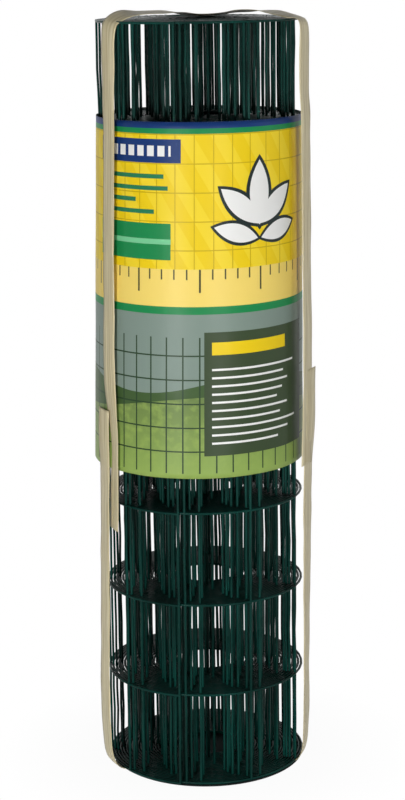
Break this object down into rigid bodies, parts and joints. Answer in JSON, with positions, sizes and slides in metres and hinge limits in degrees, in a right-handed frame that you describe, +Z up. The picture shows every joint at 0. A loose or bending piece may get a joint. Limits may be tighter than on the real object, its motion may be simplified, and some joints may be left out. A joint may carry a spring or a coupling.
{
  "type": "roll of wire fencing",
  "caption": "Tight coil of green coated welded wire mesh standing on its end, with a printed sleeve round its middle and wide tape over both ends.",
  "frame": {"origin": "on the floor, on the roll's axis, at the middle of the part's footprint", "axes": "+Z up along the roll's axis, -Y towards the viewer of the picture, +X to the right"},
  "size_m": [0.1789, 0.1717, 0.6198],
  "materials": {
    "coated_wire": "dark green plastic coating over steel wire, glossy",
    "printed_paper": "printed paper with a satin film, white inside",
    "tape": "beige film tape, slightly see-through"
  },
  "bodies": {
    "root": {"mesh_roll": "coated_wire", "label_sleeve": "printed_paper", "top_strap": "tape", "bottom_strap": "tape"}
  },
  "joints": []
}
